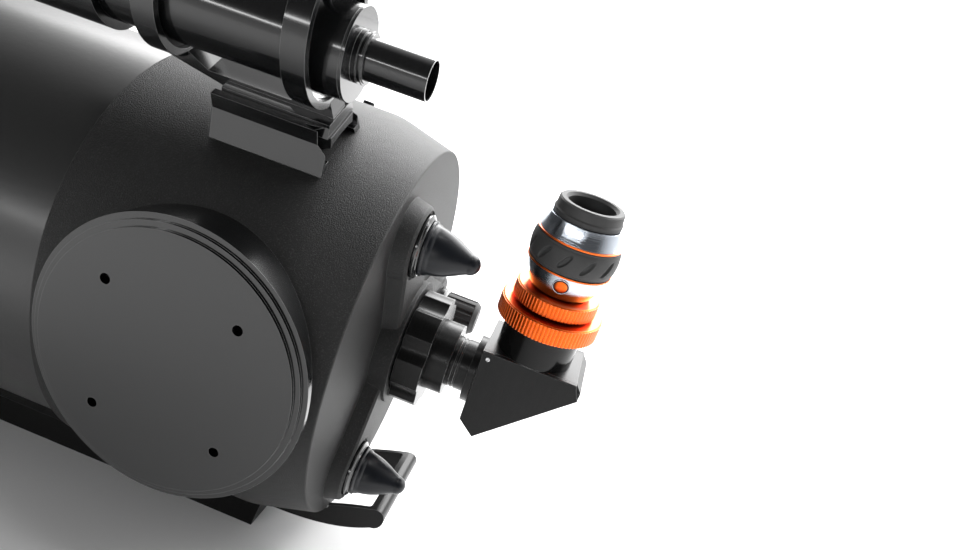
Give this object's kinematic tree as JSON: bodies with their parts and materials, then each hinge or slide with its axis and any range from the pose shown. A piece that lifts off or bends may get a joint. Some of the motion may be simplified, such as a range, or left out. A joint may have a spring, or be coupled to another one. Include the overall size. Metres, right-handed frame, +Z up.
{
  "type": "catadioptric telescope tube",
  "caption": "Short wide catadioptric telescope tube with a focusing mirror, mirror clutches, finder, star diagonal, twist-lock rings and eyepiece, on a dovetail rail.",
  "frame": {"origin": "centre of the underside of the dovetail rail", "axes": "+X along the optical axis towards the eyepiece end, +Z up through the tube, +Y to the focus knob's side; the optical axis lies 190 mm above the origin"},
  "size_m": [0.7232, 0.34, 0.4434],
  "materials": {
    "cell_powder_coat": "fine textured powder coat",
    "tube_paint": "satin paint",
    "gloss_black": "gloss black",
    "satin_black": "satin black anodised",
    "orange_anodised": "orange anodised",
    "polished_aluminium": "polished",
    "machined_aluminium": "fine machined",
    "rubber": "matt moulded rubber",
    "black_plastic": "satin moulded plastic",
    "glass": "coated optical glass",
    "mirror": "aluminised glass",
    "steel": "turned steel",
    "baffle_black": "matt black paint"
  },
  "bodies": {
    "optical_tube": {"rear_cell": "cell_powder_coat", "main_tube": "tube_paint", "front_cell": "cell_powder_coat", "corrector_plate": "glass", "corrector_retaining_ring": "satin_black", "retaining_ring_screws": "steel", "secondary_cell": "satin_black", "secondary_retainer": "satin_black", "secondary_mirror": "mirror", "secondary_cover": "orange_anodised", "primary_baffle_tube": "baffle_black", "focus_bush": "satin_black", "clutch_bezels": "gloss_black", "visual_back": "satin_black", "handle": "satin_black", "side_hub_near": "gloss_black", "side_hub_far": "gloss_black", "dovetail_rail": "satin_black", "rail_saddles": "satin_black", "saddle_screws": "steel", "finder_base": "gloss_black", "finder_stand": "gloss_black", "finder_oring": "rubber", "finder_tube": "gloss_black", "port_plug": "black_plastic"},
    "mirror_cell": {"mirror_carrier": "machined_aluminium", "primary_mirror": "mirror"},
    "focuser": {"focus_knob": "rubber", "focus_screw": "steel"},
    "upper_clutch": {"clutch_knob_upper": "black_plastic", "clutch_rod_upper": "steel"},
    "lower_clutch": {"clutch_knob_lower": "black_plastic", "clutch_rod_lower": "steel"},
    "locking_ring": {"lock_ring": "satin_black"},
    "finder_objective": {"finder_objective_cell": "gloss_black", "finder_objective_lens": "glass"},
    "finder_draw": {"finder_eyepiece": "gloss_black", "finder_eye_lens": "glass"},
    "upper_adjuster": {"finder_adjuster_upper": "black_plastic"},
    "far_adjuster": {"finder_adjuster_far": "black_plastic"},
    "diagonal": {"diagonal_neck": "satin_black", "diagonal_body": "satin_black", "diagonal_side_plate_near": "satin_black", "diagonal_side_plate_far": "satin_black", "side_plate_screw": "steel", "slope_plate": "satin_black", "diagonal_mirror": "mirror", "diagonal_receptacle": "satin_black"},
    "lower_twist_lock": {"twist_ring_lower": "orange_anodised"},
    "adapter": {"adapter_sleeve": "satin_black"},
    "upper_twist_lock": {"twist_ring_upper": "orange_anodised"},
    "eyepiece": {"eyepiece_body": "polished_aluminium", "eyepiece_grip": "rubber", "eyepiece_accent_rings": "orange_anodised", "eyepiece_barrel": "polished_aluminium", "eyepiece_lens": "glass"},
    "twist_up_eyecup": {"eyecup": "rubber"}
  },
  "joints": [
    {"name": "mirror_focus", "type": "slide", "parent": "optical_tube", "child": "mirror_cell", "axis": [1, 0, 0], "range_m": [-0.006, 0.006]},
    {"name": "focus_turn", "type": "hinge", "parent": "optical_tube", "child": "focuser", "pos_m": [0.32, 0.108, 0.19], "axis": [1, 0, 0], "range_deg": [-2160, 2160]},
    {"name": "upper_clutch_turn", "type": "hinge", "parent": "optical_tube", "child": "upper_clutch", "pos_m": [0.32, -0.054, 0.28353], "axis": [1, 0, 0], "range_deg": [0, 270]},
    {"name": "lower_clutch_turn", "type": "hinge", "parent": "optical_tube", "child": "lower_clutch", "pos_m": [0.32, -0.054, 0.09647], "axis": [1, 0, 0], "range_deg": [0, 270]},
    {"name": "lock_ring_turn", "type": "hinge", "parent": "optical_tube", "child": "locking_ring", "pos_m": [0.33, 0, 0.19], "axis": [1, 0, 0], "range_deg": [0, 360]},
    {"name": "finder_focus_turn", "type": "hinge", "parent": "optical_tube", "child": "finder_objective", "pos_m": [0.1, -0.11, 0.38845], "axis": [1, 0, 0], "range_deg": [-180, 180]},
    {"name": "finder_eyepiece_slide", "type": "slide", "parent": "optical_tube", "child": "finder_draw", "axis": [1, 0, 0], "range_m": [-0.003, 0.006]},
    {"name": "upper_adjuster_turn", "type": "hinge", "parent": "optical_tube", "child": "upper_adjuster", "pos_m": [0.239, -0.11, 0.38845], "axis": [0, -0.4848, 0.8746], "range_deg": [-360, 360]},
    {"name": "far_adjuster_turn", "type": "hinge", "parent": "optical_tube", "child": "far_adjuster", "pos_m": [0.239, -0.11, 0.38845], "axis": [0, 0.9998, -0.0175], "range_deg": [-360, 360]},
    {"name": "diagonal_turn", "type": "hinge", "parent": "optical_tube", "child": "diagonal", "pos_m": [0.36, 0, 0.19], "axis": [1, 0, 0], "range_deg": [-97.5, 82.5]},
    {"name": "lower_twist_turn", "type": "hinge", "parent": "diagonal", "child": "lower_twist_lock", "pos_m": [0.4105, -0.00914, 0.2594], "axis": [0, -0.1305, 0.9914], "range_deg": [0, 60]},
    {"name": "adapter_lift", "type": "slide", "parent": "diagonal", "child": "adapter", "axis": [0, -0.1305, 0.9914], "range_m": [0, 0.02]},
    {"name": "upper_twist_turn", "type": "hinge", "parent": "adapter", "child": "upper_twist_lock", "pos_m": [0.4105, -0.01083, 0.27229], "axis": [0, -0.1305, 0.9914], "range_deg": [0, 60]},
    {"name": "eyepiece_lift", "type": "slide", "parent": "adapter", "child": "eyepiece", "axis": [0, -0.1305, 0.9914], "range_m": [0, 0.022]},
    {"name": "eyecup_rise", "type": "slide", "parent": "eyepiece", "child": "twist_up_eyecup", "axis": [0, -0.1305, 0.9914], "range_m": [0, 0.006]}
  ],
  "couplings": [
    {"joint": "focus_turn", "follows": "mirror_focus", "rad_per_m": -6283.2}
  ]
}
